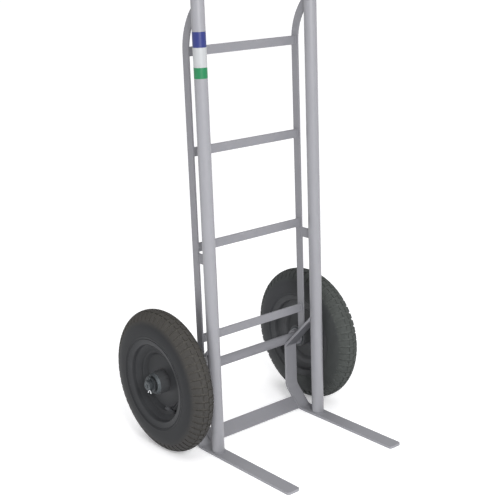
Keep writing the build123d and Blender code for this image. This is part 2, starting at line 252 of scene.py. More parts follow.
def greyEnamel(name, look):
    # sprayed stoving enamel on mild steel: soft sheen, faint orange peel, slight clouding of the colour;
    # a shade smoother on the drawn tubes than on the rolled flats; the tubes and the toe straps are set a
    # shade lighter, painted light for the stronger light they catch; the share says how far a darker painted
    # shade covers it, as under the straps' slopes
    material, add = newMaterial(name)
    place = add("TexCoord", out="Object")
    cloud = add("TexNoise", {"Scale": perMetre(look["cloud"]), "Detail": 4.0}, {"Vector": place})
    sprayed = add("Mix", {"data_type": "RGBA", 6: linear(look["dark"]), 7: linear(look["light"])}, {0: cloud})
    share = add("Attribute", {"attribute_name": "dustShare"}, out="Fac")
    colour = add("Mix", {"data_type": "RGBA", 7: linear(look["grime"])}, {0: share, 6: sprayed})
    rough = add("MapRange", {"To Min": look["smooth"], "To Max": look["rough"]}, {"Value": cloud})
    peel = add("TexNoise", {"Scale": perMetre(look["peel"]), "Detail": 1.0}, {"Vector": place})
    bump = add("Bump", {"Strength": look["peelStrength"], "Distance": look["peelDepth"]}, {"Height": peel})
    shader = add(
        "BsdfPrincipled", {"IOR": look["ior"]}, {"Base Color": colour, "Roughness": rough, "Normal": bump}
    )
    add("OutputMaterial", links={"Surface": shader})
    return material


blackEnamelLook = {
    "clean": "#303133", "dusty": "#5c5d5f", "dust": 26 * mm, "patchy": 0.12, "peel": 1.8 * mm,
    "peelDepth": 0.02 * mm, "peelStrength": 0.3, "smooth": 0.32, "rough": 0.46, "shine": 0.1, "ior": 1.5,
}


def blackEnamel():
    # black enamel on pressed rim steel: charcoal with a low sheen and paler patches of dust; the share makes
    # it paler still, painted light that lifts the shade in the well, round the hub and over the inner halves
    look = blackEnamelLook
    material, add = newMaterial("blackRimEnamel")
    place = add("TexCoord", out="Object")
    dust = add("TexNoise", {"Scale": perMetre(look["dust"]), "Detail": 5.0}, {"Vector": place})
    share = add("Attribute", {"attribute_name": "dustShare"}, out="Fac")
    covered = add("Math", {"operation": "MULTIPLY_ADD", 1: look["patchy"]}, {0: dust, 2: share})
    colour = add(
        "Mix", {"data_type": "RGBA", 6: linear(look["clean"]), 7: linear(look["dusty"])}, {0: covered}
    )
    rough = add("MapRange", {"To Min": look["smooth"], "To Max": look["rough"]}, {"Value": dust})
    peel = add("TexNoise", {"Scale": perMetre(look["peel"]), "Detail": 1.0}, {"Vector": place})
    bump = add("Bump", {"Strength": look["peelStrength"], "Distance": look["peelDepth"]}, {"Height": peel})
    shader = add(
        "BsdfPrincipled", {"IOR": look["ior"], "Specular IOR Level": look["shine"]},
        {"Base Color": colour, "Roughness": rough, "Normal": bump},
    )
    add("OutputMaterial", links={"Surface": shader})
    return material


tyreRubberLook = {
    "patch": 22 * mm, "grain": 1.6 * mm, "grainDepth": 0.08 * mm, "grainStrength": 0.4, "smooth": 0.5,
    "rough": 0.75, "shine": 0.15, "ior": 1.52,
    # per side: the right tyre's tones are set lighter, painted light that lifts the far wheel's shade
    "left": {"sidewall": "#28292b", "tread": "#3d3b39", "dust": "#494744", "groove": "#4d4b47"},
    "right": {"sidewall": "#36373a", "tread": "#3e413f", "dust": "#4e514f", "groove": "#535654"},
}


def tyreRubber(side):
    # vulcanised black tyre rubber: a bluish sidewall with a low sheen and a duller, dusty tread; the grooves
    # are paler, partly dust and partly painted light that lifts their shade; the share runs from 0 on the
    # sidewall over 1 on the tread to 2 in a groove, with painted light and shade by angle mixed in; the grain
    # is drawn coarse enough to show
    look = tyreRubberLook
    tone = {part: linear(code) for part, code in look[side].items()}
    material, add = newMaterial(side + "TyreRubber")
    place = add("TexCoord", out="Object")
    share = add("Attribute", {"attribute_name": "dustShare"}, out="Fac")
    patch = add("TexNoise", {"Scale": perMetre(look["patch"]), "Detail": 5.0}, {"Vector": place})
    worn = add("Mix", {"data_type": "RGBA", 6: tone["tread"], 7: tone["dust"]}, {0: patch})
    outside = add("Mix", {"data_type": "RGBA", 6: tone["sidewall"]}, {0: share, 7: worn})
    sunk = add("Math", {"operation": "SUBTRACT", "use_clamp": True, 1: 1.0}, {0: share})
    colour = add("Mix", {"data_type": "RGBA", 7: tone["groove"]}, {0: sunk, 6: outside})
    rough = add("MapRange", {"To Min": look["smooth"], "To Max": look["rough"]}, {"Value": share})
    grain = add("TexNoise", {"Scale": perMetre(look["grain"]), "Detail": 3.0}, {"Vector": place})
    bump = add("Bump", {"Strength": look["grainStrength"], "Distance": look["grainDepth"]}, {"Height": grain})
    shader = add(
        "BsdfPrincipled", {"IOR": look["ior"], "Specular IOR Level": look["shine"]},
        {"Base Color": colour, "Roughness": rough, "Normal": bump},
    )
    add("OutputMaterial", links={"Surface": shader})
    return material


darkSteelLook = {
    "bright": "#5c6164", "dull": "#43474a", "grease": "#3a3d40", "spangle": 3.5 * mm, "smooth": 0.42,
    "rough": 0.6, "metal": 0.7,
}
# near-white zinc for the split pin, whose legs show it as a painted glint
paintedGlintSteelLook = {
    "bright": "#f0f1f3", "dull": "#d8dadd", "grease": "#4a4e51", "spangle": 2.5 * mm, "smooth": 0.22,
    "rough": 0.35, "metal": 0.5,
}


def zincPlate(name, look):
    # zinc plate: a bluish metal with a fine uneven sheen, bright when new, dull under grease and road dirt;
    # the share says how far the dull tone covers it; on the split pin it darkens the eye, and the legs'
    # near-white is a painted glint
    material, add = newMaterial(name)
    place = add("TexCoord", out="Object")
    spangle = add("TexVoronoi", {"Scale": perMetre(look["spangle"])}, {"Vector": place})
    plate = add(
        "Mix", {"data_type": "RGBA", 6: linear(look["bright"]), 7: linear(look["dull"])}, {0: spangle}
    )
    share = add("Attribute", {"attribute_name": "dustShare"}, out="Fac")
    colour = add("Mix", {"data_type": "RGBA", 7: linear(look["grease"])}, {0: share, 6: plate})
    rough = add("MapRange", {"To Min": look["smooth"], "To Max": look["rough"]}, {"Value": spangle})
    shader = add("BsdfPrincipled", {"Metallic": look["metal"]}, {"Base Color": colour, "Roughness": rough})
    add("OutputMaterial", links={"Surface": shader})
    return material


vinylLook = {
    "ground": "#a9abad", "upper": "#202b6b", "lower": "#0d7044", "upperEdge": 1011 * mm,
    "lowerEdge": 966 * mm, "rough": 0.35, "ior": 1.5,
}


def bandedVinyl():
    # glossy printed vinyl film: a pale ground with one plain band of colour at each end
    look = vinylLook
    material, add = newMaterial("bandedVinylFilm")
    place = add("TexCoord", out="Object")
    height = add("SeparateXYZ", links={"Vector": place}, out="Z")
    above = add("Math", {"operation": "GREATER_THAN", 1: look["upperEdge"]}, {0: height})
    below = add("Math", {"operation": "LESS_THAN", 1: look["lowerEdge"]}, {0: height})
    topped = add(
        "Mix", {"data_type": "RGBA", 6: linear(look["ground"]), 7: linear(look["upper"])}, {0: above}
    )
    colour = add("Mix", {"data_type": "RGBA", 7: linear(look["lower"])}, {0: below, 6: topped})
    shader = add("BsdfPrincipled", {"Roughness": look["rough"], "IOR": look["ior"]}, {"Base Color": colour})
    add("OutputMaterial", links={"Surface": shader})
    return material


gripRubberLook = {
    "base": "#202124", "bloom": "#2d2e31", "patch": 18 * mm, "grain": 1.2 * mm, "grainDepth": 0.06 * mm,
    "grainStrength": 0.4, "smooth": 0.5, "rough": 0.68, "shine": 0.3, "ior": 1.52,
}
capPlasticLook = {
    **gripRubberLook, "base": "#37383b", "bloom": "#414245", "patch": 9 * mm, "grain": 0.8 * mm,
    "grainDepth": 0.03 * mm, "smooth": 0.4, "rough": 0.55, "shine": 0.2,
}


def mouldedBlack(name, look):
    # moulded black rubber or plastic: matt, a faint greyish bloom, and a grain drawn coarse enough to show
    material, add = newMaterial(name)
    place = add("TexCoord", out="Object")
    patch = add("TexNoise", {"Scale": perMetre(look["patch"]), "Detail": 4.0}, {"Vector": place})
    colour = add("Mix", {"data_type": "RGBA", 6: linear(look["base"]), 7: linear(look["bloom"])}, {0: patch})
    rough = add("MapRange", {"To Min": look["smooth"], "To Max": look["rough"]}, {"Value": patch})
    grain = add("TexNoise", {"Scale": perMetre(look["grain"]), "Detail": 2.0}, {"Vector": place})
    bump = add("Bump", {"Strength": look["grainStrength"], "Distance": look["grainDepth"]}, {"Height": grain})
    shader = add(
        "BsdfPrincipled", {"IOR": look["ior"], "Specular IOR Level": look["shine"]},
        {"Base Color": colour, "Roughness": rough, "Normal": bump},
    )
    add("OutputMaterial", links={"Surface": shader})
    return material


paint = greyEnamel("greyEnamelOnFlatBar", flatEnamelLook)
strapPaintWithPaintedLight = greyEnamel("greyEnamelOnToeStrap", strapEnamelLook)
tubePaintWithPaintedLight = greyEnamel("greyEnamelOnTubeWithPaintedLight", tubeEnamelLook)
rimPaint = blackEnamel()
rubber = {side: tyreRubber(side) for side in sides}
darkSteel = zincPlate("darkenedZincPlate", darkSteelLook)
paintedGlintSteel = zincPlate("brightZincPlateWithPaintedGlint", paintedGlintSteelLook)
gripRubber = mouldedBlack("mouldedGripRubber", gripRubberLook)
capPlastic = mouldedBlack("mouldedCapPlastic", capPlasticLook)
vinyl = bandedVinyl()
print("materials made")


# places read from the frame

def spanOf(node):
    # lowest and highest corner of a node
    low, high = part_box(node)
    return np.array(low), np.array(high)


tubeLow, tubeHigh = spanOf("right_main_tube")
tubeRadius = (tubeHigh[0] - tubeLow[0]) / 2
tubeX = (tubeHigh[0] + tubeLow[0]) / 2
tubeY = tubeLow[1] + tubeRadius
tubeFoot = tubeLow[2]
strapLow, strapHigh = spanOf("right_toe_strap")
strapWidth = strapHigh[0] - strapLow[0]
barLow, barHigh = spanOf("foot_crossbar")
strapThick = rootTwo * (barHigh[2] - barLow[2]) - strapWidth  # the crossbar is the same flat at 45 degrees
railLow, railHigh = spanOf("right_side_rail")
railThick = railHigh[0] - railLow[0]
railX = (railHigh[0] + railLow[0]) / 2
rungs = ("rung_1", "rung_2", "rung_3", "rung_4")
rungLow, rungHigh = spanOf(rungs[0])
railWidth = rungHigh[2] - rungLow[2]  # rails and rungs are the same flat
axleLow, axleHigh = spanOf("axle")
axleRadius = (axleHigh[2] - axleLow[2]) / 2
axleY = (axleHigh[1] + axleLow[1]) / 2
axleZ = (axleHigh[2] + axleLow[2]) / 2
axleSpot = np.array([axleY, axleZ])
slopeTop = axleY + axleZ - rootTwo * axleRadius  # y + z on the upper face of the straps' slopes
slopeMiddle = slopeTop - strapThick / rootTwo
wheelX = {side: sum(spanOf(side + "_tyre"))[0] / 2 for side in sides}


def spunOnAxle(outline, startX=0.0, side=1, segments=96):
    # an outline of (reach along X, radius) spun about the axle's line
    angle = np.arange(segments) * 2 * np.pi / segments
    spokes = np.stack([np.cos(angle), np.sin(angle)], 1)
    return gridOf(startX + side * outline[:, :1], axleSpot + outline[:, 1:, None] * spokes)


def tubeBackAt(offset):
    # Y of the main tube's round back, this far to one side of its middle
    return tubeY + np.sqrt(tubeRadius ** 2 - offset ** 2)


# main tubes and grips

handle = {
    "bendStart": 1120 * mm, "bendRadius": 120 * mm, "turn": 70.0, "straight": 132 * mm, "segments": 64,
    "bendSteps": 40,
}
handleTurn = np.radians(handle["turn"])
handleReach = handle["bendRadius"] * np.tan(handleTurn / 2)  # from the bend's ends to its corner
handleCorner = np.array([tubeY, handle["bendStart"] + handleReach])
handleWay = np.array([np.sin(handleTurn), np.cos(handleTurn)])
handleEnd = handleCorner + handleWay * (handleReach + handle["straight"])


def mainTube(side):
    # a circle carried up a straight line, round an arc to the rear and along the handle
    corners = [(tubeY, tubeFoot), handleCorner, handleEnd]
    route, normals = bentRoute(corners, [handle["bendRadius"]], handle["bendSteps"])
    return sideBar(sides[side] * tubeX, route, normals, circle(tubeRadius, handle["segments"]))


gripShape = {
    "length": 118 * mm, "wall": 3.3 * mm, "cap": 4 * mm, "collarHeight": 5 * mm, "collarLength": 6 * mm,
    "collarSteps": 9, "rings": 9, "ringHeight": 1.3 * mm, "ringSteps": 12, "domeTurn": 84.0, "domeSteps": 9,
    "domeLength": 8 * mm, "domeDrop": 6 * mm, "segments": 64,
}


def handGrip(side):
    # radius along the grip: a rounded collar, a row of raised rings by a sine, and a domed closed end
    shape = gripShape
    outer = tubeRadius + shape["wall"]
    mouth = shape["cap"] - shape["length"]
    step = np.linspace(0, 1, shape["collarSteps"])
    collarZ = mouth + shape["collarLength"] * (0.5 - 0.5 * np.cos(np.pi * step))
    collarR = outer + shape["collarHeight"] * np.sqrt(np.clip(1 - (2 * step - 1) ** 4, 0, 1))
    ringZ = np.linspace(mouth + shape["collarLength"], -shape["cap"], shape["ringSteps"] * shape["rings"] + 1)
    wave = np.linspace(0, shape["rings"], len(ringZ)) % 1
    ringR = outer + shape["ringHeight"] * np.sin(np.pi * wave) ** 2 * (wave > 0)
    dome = np.radians(np.linspace(0, shape["domeTurn"], shape["domeSteps"]))
    domeZ = -shape["cap"] + shape["domeLength"] * np.sin(dome)
    domeR = outer - shape["domeDrop"] * (1 - np.cos(dome))
    reach = np.concatenate([[mouth, mouth], collarZ[1:], ringZ, domeZ[1:], [domeZ[-1]]])
    radius = np.concatenate([[tubeRadius, outer], collarR[1:], ringR, domeR[1:], [poleRadius]])
    loop = circle(1, shape["segments"])
    centre = handleEnd + reach[:, None] * handleWay
    across = np.array([handleWay[1], -handleWay[0]])
    rows = centre[:, None] + radius[:, None, None] * loop[:, 1, None] * across
    return gridOf(sides[side] * tubeX + radius[:, None] * loop[:, 0], rows)


for side in sides:
    dressNode(side + "_main_tube", mainTube(side), False, tubePaintWithPaintedLight, "frame")
    grip = [(handGrip(side), False)]
    putPiece(side + "HandGrip", grip, gripRubber, "frame", [side + "_grip"])
print("tubes and grips made")


# flat bars of the frame

strapShape = {
    "kneeOffset": 53 * mm, "kneeBend": 26 * mm, "slopeBend": 12 * mm, "earBack": 4 * mm, "tipRadius": 7 * mm,
    "tipSteps": 8, "across": 40, "paintedShadePower": 12,
}


def toeStrap(side):
    # rounded flat section along toe, knee, upright and slope; near the tip the width follows a quarter
    # circle, and at the top every line of the section runs on until it meets the tube or the end of the
    # ears; the share of painted shade is 1 where the flat looks down, as under the slope
    shape = strapShape
    floorZ = strapThick / 2
    knee = tubeY + shape["kneeOffset"]
    upright = strapHigh[1] - strapThick / 2
    tipY = strapLow[1]
    corners = [
        (tipY, floorZ), (knee + floorZ, floorZ), (upright, upright - knee), (upright, slopeMiddle - upright),
        (tubeY, slopeMiddle - tubeY),
    ]
    route, normals = bentRoute(corners, [shape["kneeBend"], shape["kneeBend"], shape["slopeBend"]])
    tipRadius = shape["tipRadius"]
    tip = tipRadius * (1 - np.cos(np.linspace(0, np.pi / 2, shape["tipSteps"])))
    tipRoute = np.stack([tipY + tip, np.full(len(tip), floorZ)], 1)
    route = np.concatenate([tipRoute, route[2:]])
    normals = np.concatenate([np.repeat(normals[:1], len(tip), 0), normals[2:]])
    loop = roundedBox(strapWidth, strapThick, shape["across"])
    grid = sideBar(0.0, route, normals, loop)
    inset = tipRadius - np.sqrt(np.clip(tipRadius ** 2 - (tipRadius - tip) ** 2, 0, None))
    grid[:len(tip), :, 0] *= (1 - 2 * inset / strapWidth)[:, None]
    wanted = np.sqrt(np.clip(tubeRadius ** 2 - loop[:, 0] ** 2, shape["earBack"] ** 2, None)) + tubeY
    slide = (grid[-1, :, 1] - wanted)[:, None] * np.array([-1, 1])
    grid[-2:, :, 1:] += slide
    grid[..., 0] += sides[side] * tubeX
    lookingDown = np.clip(-rootTwo * normals[:, 1:], 0, 1)
    onFace = np.clip(2 * loop[:, 1] / strapThick, 0, 1) ** shape["paintedShadePower"]
    return grid, lookingDown * onFace


railShape = {"bendStart": 995 * mm, "bendRadius": 139 * mm, "bendSteps": 24}


def sideRail(side):
    # flat section up a straight line, then round an arc towards the tube: rear edge on the larger radius;
    # the foot is cut along the slope and the top where each line of the section meets the tube
    shape = railShape
    loop = roundedBox(railThick, railWidth)
    middle = railHigh[1] - railWidth / 2
    back = middle + loop[:, 1]
    centre = middle - shape["bendRadius"]
    wanted = tubeBackAt(sides[side] * (railX - tubeX) + loop[:, 0])
    last = np.arccos((wanted - centre) / (back - centre))
    angle = np.linspace(0, 1, shape["bendSteps"])[:, None] * last
    foot = slopeTop - back
    bendFoot = np.full(len(loop), shape["bendStart"] - edgeMargin)
    straight = [np.stack([back, height], -1) for height in (foot, foot + edgeMargin, bendFoot)]
    arcY = centre + (back - centre) * np.cos(angle)
    arcZ = shape["bendStart"] + (back - centre) * np.sin(angle)
    rows = np.concatenate([straight, np.stack([arcY, arcZ], -1)])
    return gridOf(sides[side] * railX + loop[:, 0], rows)


def spacerBar(side):
    # flat section from the rail forwards; its front end follows the tube's round back
    low, high = spanOf(side + "_spacer")
    loop = roundedBox(railThick, high[2] - low[2])
    front = tubeBackAt(sides[side] * (railX - tubeX) + loop[:, 0])
    rear = np.full(len(loop), high[1])
    height = (low[2] + high[2]) / 2 + loop[:, 1]
    rows = [np.stack([at, height], -1) for at in (front, front + edgeMargin, rear - edgeMargin, rear)]
    return gridOf(sides[side] * railX + loop[:, 0], np.array(rows))


def levelRung(node):
    # a rounded flat section of the node's own size, from end to end
    low, high = spanOf(node)
    loop = roundedBox(high[1] - low[1], high[2] - low[2]) + (low[1:] + high[1:]) / 2
    return crossBar(low[0], high[0], loop)


def footCrossbar():
    # the same flat as the straps, turned by 45 degrees
    loop = roundedBox(strapWidth, strapThick) @ (np.array([[1, 1], [-1, 1]]) / rootTwo)
    return crossBar(barLow[0], barHigh[0], loop + (barLow[1:] + barHigh[1:]) / 2)


for side in sides:
    # the strap's share is painted shade under its slope
    strap, grime = toeStrap(side)
    dressNode(side + "_toe_strap", strap, False, strapPaintWithPaintedLight, "frame", grime)
    dressNode(side + "_side_rail", sideRail(side), False, paint, "frame")
    dressNode(side + "_spacer", spacerBar(side), False, paint, "frame")
for node in rungs:
    dressNode(node, levelRung(node), False, paint, "frame")
dressNode("foot_crossbar", footCrossbar(), False, paint, "frame")
print("flat bars made")


# wheels

tyreShape = {  # rows and corners are in millimetres
    "middleRadius": 128 * mm, "power": 2.2, "fineSteps": 4000, "lugs": 58, "edge": 0.2 * mm,
    "grooves": ((-1.2 * mm, 1.2 * mm), (12.8 * mm, 15.2 * mm)),
    "slotDepth": 2.6 * mm, "slotHalf": 0.14, "slotEdge": 0.01, "slotEnd": 37 * mm, "slotFade": 5 * mm,
    "treadRows": (0, 4, 6, 8, 10, 14, *range(17, 36, 2), *range(37, 43)), "wallRows": 12,
    "treadEnd": 45 * mm, "treadFade": 15 * mm, "underSteps": 25,
    "ringRadius": 121 * mm, "ringHeight": 0.7 * mm, "ringWidth": 1.8 * mm,
    "heelRadius": 114 * mm, "heelReach": 31.2 * mm,
    "beadCorners": ((28.2, 104.4), (26.0, 102.2), (19.8, 101.5)),
    "hollowReach": 29.9 * mm, "hollowTop": 174 * mm, "hollowSteps": 5,
    "treadPaintedShade": {"left": (0.5, 85.0), "right": (0.7, 155.0)},  # painted shade: how much darker the tread is made, opposite which angle
    "wallDust": {"left": (0.0, 0.0), "right": (0.65, 215.0)},  # painted light: how much paler the sidewall is made, at which angle
}


def tyreSurface(side):
    # outside: a superellipse over the widest line and an ellipse arc below it, pushed in along its normal
    # where a groove runs round the tread or a slot crosses it; inside: the bead's foot and a round hollow
    shape = tyreShape
    low, high = spanOf(side + "_tyre")
    half = (high[0] - low[0]) / 2
    middle = shape["middleRadius"]
    sweep = np.linspace(0, np.pi / 2, shape["fineSteps"])
    fineReach = half * np.sin(sweep) ** (2 / shape["power"])
    fineRadius = middle + (axleZ - middle) * np.cos(sweep) ** (2 / shape["power"])
    fineLength = np.concatenate([[0], np.cumsum(np.hypot(np.diff(fineReach), np.diff(fineRadius)))])

    edge = np.array([-1, 1]) * shape["edge"]
    lips = [lip + edge for groove in shape["grooves"] for lip in groove if lip > 0]
    wallRows = np.linspace(shape["treadEnd"], fineLength[-1], shape["wallRows"])
    length = np.sort(np.concatenate([np.array(shape["treadRows"]) * mm, *lips, wallRows]))
    reach = np.interp(length, fineLength, fineReach)
    radius = np.interp(length, fineLength, fineRadius)
    normalX = -np.interp(length, fineLength, np.gradient(fineRadius, fineLength))
    normalR = np.interp(length, fineLength, np.gradient(fineReach, fineLength))

    wall = shape["slotHalf"] + np.array([-1, 1]) * shape["slotEdge"]
    halfPitch = np.concatenate([[0], wall, [0.25], 0.5 - wall[::-1]])
    turns = (np.arange(2 * shape["lugs"])[:, None] / 2 + halfPitch).ravel()
    angle = 2 * np.pi * turns / shape["lugs"]
    inGroove = np.any([(length > first) & (length < last) for first, last in shape["grooves"]], 0)
    slotReach = np.clip((shape["slotEnd"] - length) / shape["slotFade"] + 1, 0, 1)

    onTread = np.clip((shape["treadEnd"] - length) / shape["treadFade"] + 0.5, 0, 1)
    # beside the dust, the tread's share carries painted shade opposite one angle, and the right sidewall's
    # share painted light
    most, at = shape["treadPaintedShade"][side]
    treadShadeSector = 1 - most * (0.5 - 0.5 * np.cos(angle - np.radians(at)))
    most, at = shape["wallDust"][side]
    wallPaintedLightShare = most * (0.5 + 0.5 * np.cos(angle - np.radians(at)))

    def outerHalf(shift):
        # one half of the outside, from the crown to the widest line, with its slots shifted round
        inSlot = np.abs((turns - shift + 0.5) % 1 - 0.5) < shape["slotHalf"]
        sunk = np.maximum(inGroove[:, None], slotReach[:, None] * inSlot)
        depth = shape["slotDepth"] * sunk
        share = np.maximum(onTread[:, None] * treadShadeSector * (1 + sunk), wallPaintedLightShare)
        return reach[:, None] - depth * normalX[:, None], radius[:, None] - depth * normalR[:, None], share

    under = np.linspace(0, np.pi / 2, shape["underSteps"])[1:]
    lowRadius = middle - (middle - shape["heelRadius"]) * np.sin(under)
    ring = shape["ringHeight"] * np.exp(-((lowRadius - shape["ringRadius"]) / shape["ringWidth"]) ** 2)
    lowReach = shape["heelReach"] + (half - shape["heelReach"]) * np.cos(under) + ring
    beadFoot = np.array(shape["beadCorners"]) * mm
    arch = np.linspace(0, np.pi / 2, shape["hollowSteps"])
    hollowX = shape["hollowReach"] * np.cos(arch)
    hollowR = middle + (shape["hollowTop"] - middle) * np.sin(arch)
    plainX = np.concatenate([lowReach, beadFoot[:, 0], hollowX])
    plainR = np.concatenate([lowRadius, beadFoot[:, 1], hollowR])
    around = np.ones(len(angle))
    nearX, nearR, nearShare = outerHalf(0.0)
    farX, farR, farShare = outerHalf(0.5)
    loopX = np.concatenate([nearX, np.outer(plainX, around), -np.outer(plainX[-2::-1], around), -farX[:0:-1]])
    loopR = np.concatenate([nearR, np.outer(plainR, around), np.outer(plainR[-2::-1], around), farR[:0:-1]])
    rows = np.stack([axleY + loopR * np.cos(angle), axleZ + loopR * np.sin(angle)], -1)
    grid = gridOf(wheelX[side] + sides[side] * loopX, rows)
    plainShare = np.tile(wallPaintedLightShare, (2 * len(plainX) - 1, 1))
    return grid, np.concatenate([nearShare, plainShare, farShare[:0:-1]])


rimShape = {  # corners, bends and radii are in millimetres
    "sheet": 2.2 * mm, "bends": (3.0, 3.0, 7.0, 3.0, 3.0), "bendSteps": 8, "lipSteps": 9, "segments": 128,
    "corners": (
        (1.1, 29.1), (1.1, 69.0), (9.5, 77.0), (9.5, 86.0), (18.5, 99.6), (29.0, 100.9), (32.4, 113.9),
    ),
    "paintedLightRadius": (30, 68, 74, 86, 92, 99, 101, 108.5),
}
rimHalves = {  # which way each half faces, and its share of painted light at those radii, lifting the shade in the well and round the hub
    "outer_rim_half": (1, (0.2, 0.0, 0.0, 0.0, 0.0, 0.12, 0.12, 0.0)),
    "inner_rim_half": (-1, (0.41, 0.41, 0.8, 0.8, 0.45, 0.42, 0.42, 0.33)),
}
dustCapShape = {
    "sheet": 1.8 * mm, "bends": (2.2,), "bendSteps": 8, "lipSteps": 9, "segments": 96,
    "corners": ((28.4, 27.0), (35.1, 22.9), (35.1, 17.9)),
}


def sheetOutline(shape):
    # the pressed sheet's middle line, moved half a thickness to each side and rounded over at its lip
    corners, bends = [np.array(shape[key]) * mm for key in ("corners", "bends")]
    route, normals = bentRoute(corners, bends, shape["bendSteps"])
    half = shape["sheet"] / 2
    lip = np.radians(np.linspace(90, -90, shape["lipSteps"]))[1:-1, None]
    along = unit(route[-1] - route[-2])
    roundEnd = route[-1] + half * (np.cos(lip) * along + np.sin(lip) * normals[-1])
    return np.concatenate([route + half * normals, roundEnd, (route - half * normals)[::-1]])


ringBevel = 0.6 * mm


def ringOf(node, bore):
    # a plain ring as its node, with its four edges broken
    low, high = spanOf(node)
    outer = (high[2] - low[2]) / 2
    bevel = ringBevel
    return spunOnAxle(np.array([
        (low[0] + bevel, outer), (high[0] - bevel, outer), (high[0], outer - bevel), (high[0], bore + bevel),
        (high[0] - bevel, bore), (low[0] + bevel, bore), (low[0], bore + bevel), (low[0], outer - bevel),
    ]))


bearingShape = {"innerRing": 16.25 * mm, "outerRing": 21.9 * mm, "sunk": 1.2 * mm, "play": 0.05 * mm}


def bearingOf(node):
    # two races with the shield sunk between them on both faces
    shape = bearingShape
    low, high = spanOf(node)
    outer = (high[2] - low[2]) / 2
    bore = axleRadius + shape["play"]
    face = np.array([
        (0.0, bore + ringBevel), (0.0, shape["innerRing"]), (shape["sunk"], shape["innerRing"]),
        (shape["sunk"], shape["outerRing"]), (0.0, shape["outerRing"]), (0.0, outer - ringBevel),
        (ringBevel, outer),
    ])
    lowFace = face + [low[0], 0]
    highFace = (face * [-1, 1] + [high[0], 0])[::-1]
    boreRows = [(high[0] - ringBevel, bore), (low[0] + ringBevel, bore)]
    return spunOnAxle(np.concatenate([lowFace, highFace, boreRows]))


pinShape = {
    "wire": 1.1 * mm, "apart": 0.95 * mm, "standOff": 1.0 * mm, "eye": 4.6 * mm, "eyeSteps": 41,
    "legStart": 11.7 * mm, "legLength": 11 * mm, "legSpread": 28.0, "legSteps": 9, "segments": 12,
}


def splitPin(side):
    # one wire: up a bent leg, along the shank, round the eye and back down beside itself to the other leg;
    # the share grows upwards from the axle's middle: a darker eye, and near-white legs that are a painted
    # glint
    shape = pinShape
    low, high = spanOf(side + "_split_pin")
    spread = np.radians(shape["legSpread"])
    step = np.linspace(0, 1, shape["legSteps"])[:, None]
    knee = np.array([-shape["apart"], -shape["legStart"]])
    toe = knee + shape["legLength"] * np.array([-np.sin(spread), -np.cos(spread)])
    leg = toe + step * (knee - toe)
    centre = np.array([0.0, axleRadius + shape["standOff"] + shape["eye"]])
    mouth = np.arcsin(shape["apart"] / shape["eye"])
    turn = np.linspace(-np.pi / 2 - mouth, mouth - 5 * np.pi / 2, shape["eyeSteps"])[:, None]
    eye = centre + shape["eye"] * np.concatenate([np.cos(turn), np.sin(turn)], 1)
    shank = knee + step[1:] * (eye[0] - knee)
    half = np.concatenate([leg, shank])
    flat = np.concatenate([half, eye[1:-1], (half * [-1, 1])[::-1]])
    path = np.empty((len(flat), 3))
    path[:, 0] = (low[0] + high[0]) / 2
    path[:, 1:] = flat + axleSpot
    grid = tubeAlong(path, shape["wire"], shape["segments"])
    return grid, np.clip((grid[..., 2] - axleZ) / axleRadius, 0, 1)


capShape = {
    "angle": 228.0, "footReach": 9.8 * mm, "footRadius": 91 * mm, "lean": 40.0, "start": 21.2 * mm,
    "length": 11 * mm, "radius": 5.2 * mm, "round": 1.4 * mm, "roundTurn": 80.0, "roundSteps": 7,
    "bevel": 0.6 * mm, "ribs": 16, "ribDepth": 0.06, "segments": 96,
}


def valveCap(side):
    # a ribbed cap with a rounded end, turned about the valve's leaning axis
    shape = capShape
    angle, lean = np.radians([shape["angle"], shape["lean"]])
    outward = np.array([0.0, np.cos(angle), np.sin(angle)])
    axleward = np.array([sides[side] * np.sin(lean), 0, 0]) - np.cos(lean) * outward
    centre = np.array([wheelX[side] + sides[side] * shape["footReach"], *axleSpot])
    foot = centre + shape["footRadius"] * outward
    around = np.cross(outward, [1.0, 0.0, 0.0])
    across = np.cross(axleward, around)
    dome = np.radians(np.linspace(0, shape["roundTurn"], shape["roundSteps"]))
    domeRise = shape["length"] - shape["round"] * (1 - np.sin(dome))
    domeReach = shape["radius"] - shape["round"] * (1 - np.cos(dome))
    rise = np.concatenate([[0, shape["bevel"]], domeRise, [shape["length"]]])
    reach = np.concatenate([[shape["radius"] - shape["bevel"], shape["radius"]], domeReach, [poleRadius]])
    turn = np.arange(shape["segments"]) * 2 * np.pi / shape["segments"]
    ribbed = reach[:, None] * (1 - shape["ribDepth"] * (np.cos(shape["ribs"] * turn) < 0))
    along = (shape["start"] + rise)[:, None, None] * axleward
    spokes = np.cos(turn)[:, None] * around + np.sin(turn)[:, None] * across
    return foot + along + ribbed[..., None] * spokes


